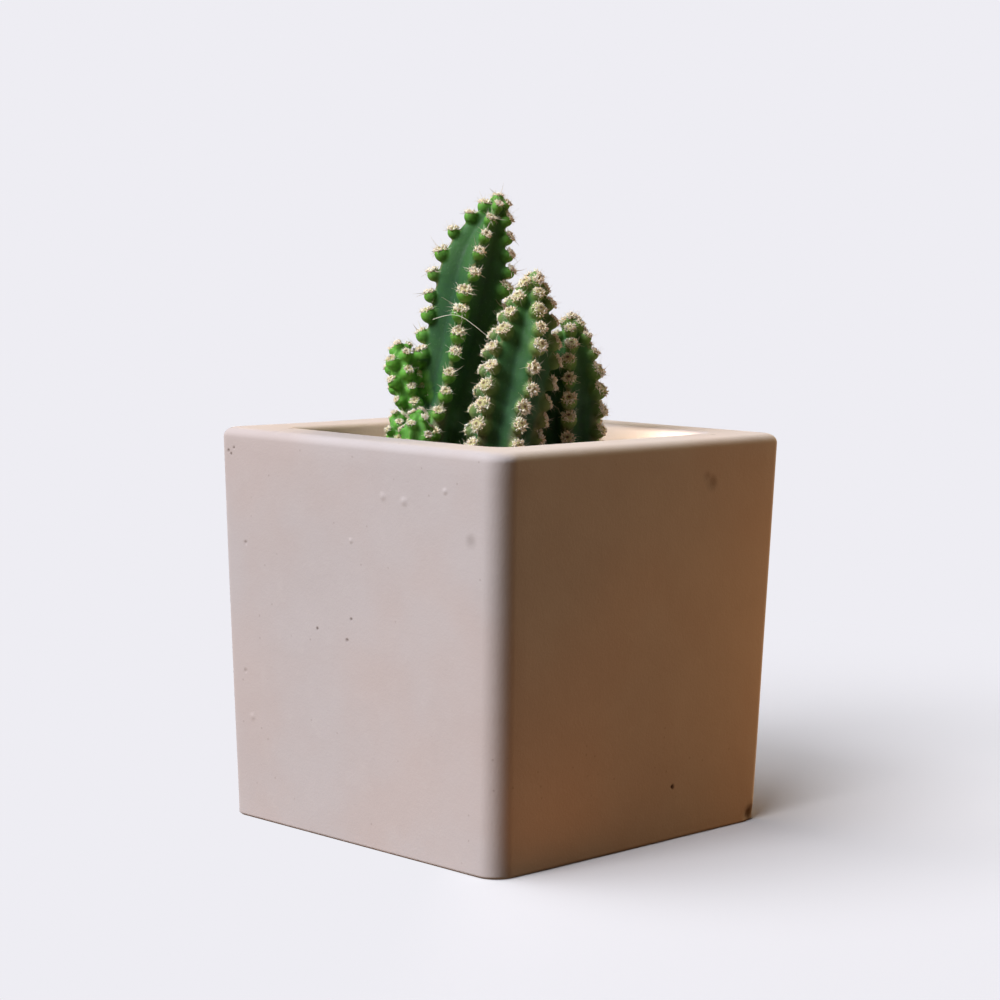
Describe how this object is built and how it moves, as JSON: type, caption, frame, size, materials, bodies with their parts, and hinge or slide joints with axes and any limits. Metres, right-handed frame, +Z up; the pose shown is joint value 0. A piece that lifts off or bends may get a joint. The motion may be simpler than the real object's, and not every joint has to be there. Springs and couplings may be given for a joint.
{
  "type": "potted fairy castle cactus",
  "caption": "Clump of five-ribbed columnar cactus with woolly, short-spined knobs, standing in soil in a thick-walled square planter.",
  "frame": {"origin": "centre of the pot's underside, on the surface that it stands on", "axes": "+Z up along the pot's height; X and Y square to the pot's sides; the clump spreads along the diagonal from -X-Y to +X+Y"},
  "size_m": [0.0998, 0.0998, 0.159],
  "materials": {
    "cast_concrete": "matte, smooth cast surface with small pits and faint stains",
    "potting_soil": "matte, gritty",
    "cactus_flesh": "waxy satin green with cream woolly areoles"
  },
  "bodies": {
    "root": {"pot": "cast_concrete", "soil": "potting_soil", "stem_tall": "cactus_flesh", "stem_middle": "cactus_flesh", "stem_right": "cactus_flesh", "offset_front": "cactus_flesh", "offset_left": "cactus_flesh"}
  },
  "joints": []
}
